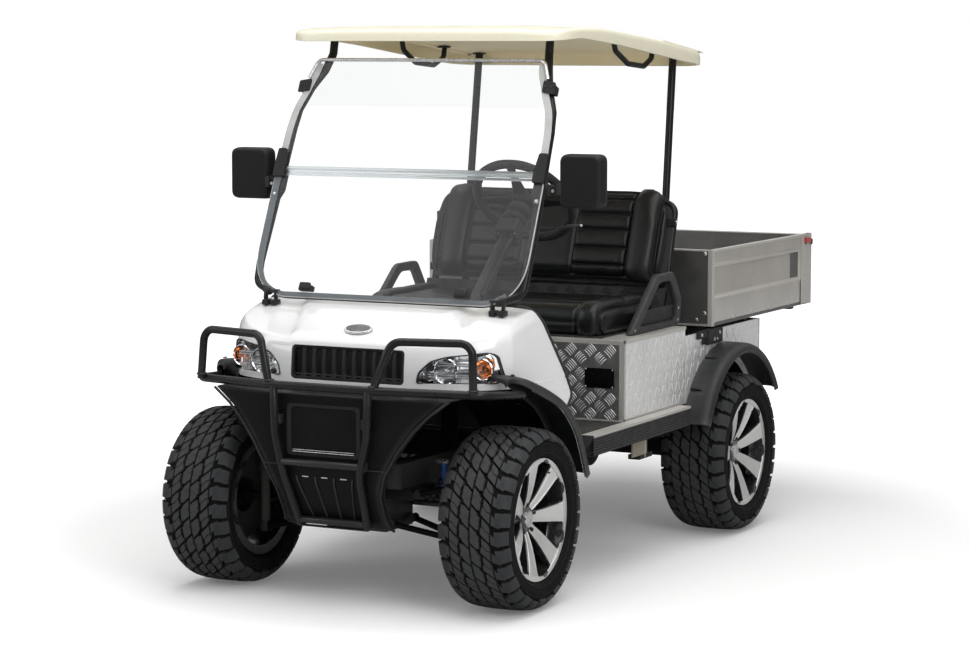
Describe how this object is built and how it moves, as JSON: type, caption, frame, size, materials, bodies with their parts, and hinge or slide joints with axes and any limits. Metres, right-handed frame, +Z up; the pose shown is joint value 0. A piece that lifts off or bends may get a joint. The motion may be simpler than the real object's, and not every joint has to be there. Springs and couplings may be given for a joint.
{
  "type": "two-seat utility golf cart with a tipping cargo bed",
  "caption": "Lifted golf cart with a roof, folding clear windscreen, front bull bar, bench seat, chunky tyres and an aluminium cargo bed that tips and has a drop tailgate.",
  "frame": {"origin": "on the ground, under the middle of the outline", "axes": "+X to the cart's left (driver's side), -Y to its front, +Z up"},
  "size_m": [1.396, 2.883, 1.853],
  "materials": {
    "black_steel": "satin black paint",
    "shock_steel": "blue and black paint",
    "cast_axle": "cast, painted black",
    "spring_steel": "dull steel",
    "floor_mat": "ribbed mat",
    "sill_plastic": "ribbed, matte",
    "checker_plate": "rolled tread pattern",
    "battery_case": "matte",
    "white_body": "gloss white",
    "lamp_lens": "clear lens over a chromed bowl",
    "black_plastic": "satin, moulded",
    "black_tube": "semi-gloss powder coat",
    "flare_plastic": "textured",
    "rubber_black": "ribbed",
    "cream_roof": "moulded, low gloss",
    "clear_screen": "clear acrylic",
    "black_leather": "grained, stitched",
    "wheel_grip": "soft moulded grip",
    "bed_aluminium": "brushed, anodised",
    "tyre_rubber": "chunky all-terrain tread",
    "machined_alloy": "gloss black with machined faces"
  },
  "bodies": {
    "chassis": {"frame": "black_steel", "front_suspension": "black_steel", "front_shocks": "shock_steel", "rear_axle": "cast_axle", "leaf_springs": "spring_steel", "floor": "floor_mat", "sills": "sill_plastic", "seat_base": "checker_plate", "battery_pack": "battery_case", "rear_body": "checker_plate", "front_cowl": "white_body", "headlights": "lamp_lens", "grille": "black_plastic", "front_panel": "black_plastic", "bull_bar": "black_tube", "front_flares": "flare_plastic", "rear_flares": "flare_plastic", "dashboard": "black_plastic", "steering_column": "black_plastic", "pedals": "rubber_black", "front_pillars": "black_tube", "rear_pillars": "black_tube", "roof": "cream_roof", "roof_handles": "black_tube", "windscreen": "clear_screen", "mirrors": "black_plastic", "seat_cushion": "black_leather", "seat_back": "black_leather", "seat_back_frame": "black_tube", "hip_restraints": "black_plastic"},
    "knuckle_left": {"knuckle_left": "cast_axle"},
    "knuckle_right": {"knuckle_right": "cast_axle"},
    "wheel_front_left": {"tyre_front_left": "tyre_rubber", "rim_front_left": "machined_alloy"},
    "wheel_front_right": {"tyre_front_right": "tyre_rubber", "rim_front_right": "machined_alloy"},
    "wheel_rear_left": {"tyre_rear_left": "tyre_rubber", "rim_rear_left": "machined_alloy"},
    "wheel_rear_right": {"tyre_rear_right": "tyre_rubber", "rim_rear_right": "machined_alloy"},
    "steering_link": {"steering_link": "spring_steel"},
    "steering_wheel": {"steering_wheel": "wheel_grip"},
    "cargo_bed": {"cargo_bed": "bed_aluminium"},
    "tailgate": {"tailgate": "bed_aluminium"}
  },
  "joints": [
    {"name": "steering", "type": "hinge", "parent": "chassis", "child": "steering_wheel", "pos_m": [0.265, -0.5175, 1.262], "axis": [0, 0.7547, 0.6561], "range_deg": [-360, 360]},
    {"name": "steer_left", "type": "hinge", "parent": "chassis", "child": "knuckle_left", "pos_m": [0.4, -1.1175, 0.292], "axis": [0, 0, 1], "range_deg": [-28, 28]},
    {"name": "steer_right", "type": "hinge", "parent": "chassis", "child": "knuckle_right", "pos_m": [-0.4, -1.1175, 0.292], "axis": [0, 0, 1], "range_deg": [-28, 28]},
    {"name": "link_slide", "type": "slide", "parent": "chassis", "child": "steering_link", "axis": [-1, 0, 0], "range_m": [-0.05164, 0.05164]},
    {"name": "roll_front_left", "type": "hinge", "parent": "knuckle_left", "child": "wheel_front_left", "pos_m": [0.512, -1.1175, 0.292], "axis": [1, 0, 0], "continuous": true},
    {"name": "roll_front_right", "type": "hinge", "parent": "knuckle_right", "child": "wheel_front_right", "pos_m": [-0.512, -1.1175, 0.292], "axis": [1, 0, 0], "continuous": true},
    {"name": "roll_rear_left", "type": "hinge", "parent": "chassis", "child": "wheel_rear_left", "pos_m": [0.562, 0.5245, 0.292], "axis": [1, 0, 0], "continuous": true},
    {"name": "roll_rear_right", "type": "hinge", "parent": "chassis", "child": "wheel_rear_right", "pos_m": [-0.562, 0.5245, 0.292], "axis": [1, 0, 0], "continuous": true},
    {"name": "bed_tip", "type": "hinge", "parent": "chassis", "child": "cargo_bed", "pos_m": [0, 1.1225, 0.742], "axis": [-1, 0, 0], "range_deg": [0, 40]},
    {"name": "tailgate_drop", "type": "hinge", "parent": "cargo_bed", "child": "tailgate", "pos_m": [0, 1.4285, 0.775], "axis": [-1, 0, 0], "range_deg": [0, 90]}
  ],
  "couplings": [
    {"joint": "steer_left", "follows": "steering", "ratio": 0.077778},
    {"joint": "steer_right", "follows": "steering", "ratio": 0.077778},
    {"joint": "link_slide", "follows": "steering", "m_per_rad": 0.008219}
  ]
}
